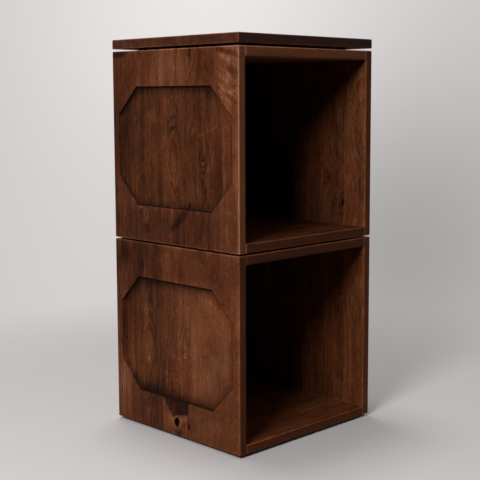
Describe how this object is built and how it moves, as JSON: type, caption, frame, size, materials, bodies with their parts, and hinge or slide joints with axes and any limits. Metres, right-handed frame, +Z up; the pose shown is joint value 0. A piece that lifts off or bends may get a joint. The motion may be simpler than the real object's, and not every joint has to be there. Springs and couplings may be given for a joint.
{
  "type": "record storage cube",
  "caption": "Stacked open-front wooden storage cubes with octagonal recesses routed into their sides and a loose lid board on rubber pads, for upright records.",
  "frame": {"origin": "on the floor under the middle of the stack", "axes": "+Z up, the open front faces -Y, +X to the right as seen from the front"},
  "size_m": [0.41, 0.392, 0.846],
  "materials": {
    "stained_wood": "walnut stain, satin",
    "back_ply": "walnut stain, matt",
    "dowel_beech": "bare",
    "screw_steel": "dark zinc",
    "rubber": "matt"
  },
  "bodies": {
    "lower_cube": {"lower_left_side": "stained_wood", "lower_right_side": "stained_wood", "lower_top_panel": "stained_wood", "lower_bottom_panel": "stained_wood", "lower_back_panel": "back_ply", "lower_top_dowels": "dowel_beech", "lower_bottom_dowels": "dowel_beech", "lower_back_screws": "screw_steel", "lower_feet": "rubber"},
    "upper_cube": {"upper_left_side": "stained_wood", "upper_right_side": "stained_wood", "upper_top_panel": "stained_wood", "upper_bottom_panel": "stained_wood", "upper_back_panel": "back_ply", "upper_top_dowels": "dowel_beech", "upper_bottom_dowels": "dowel_beech", "upper_back_screws": "screw_steel", "upper_feet": "rubber"},
    "lid": {"lid_board": "stained_wood", "lid_pads": "rubber"}
  },
  "joints": [
    {"name": "upper_cube_lift", "type": "slide", "parent": "lower_cube", "child": "upper_cube", "axis": [0, 0, 1], "range_m": [0, 0.25]},
    {"name": "lid_lift", "type": "slide", "parent": "upper_cube", "child": "lid", "axis": [0, 0, 1], "range_m": [0, 0.2]}
  ]
}
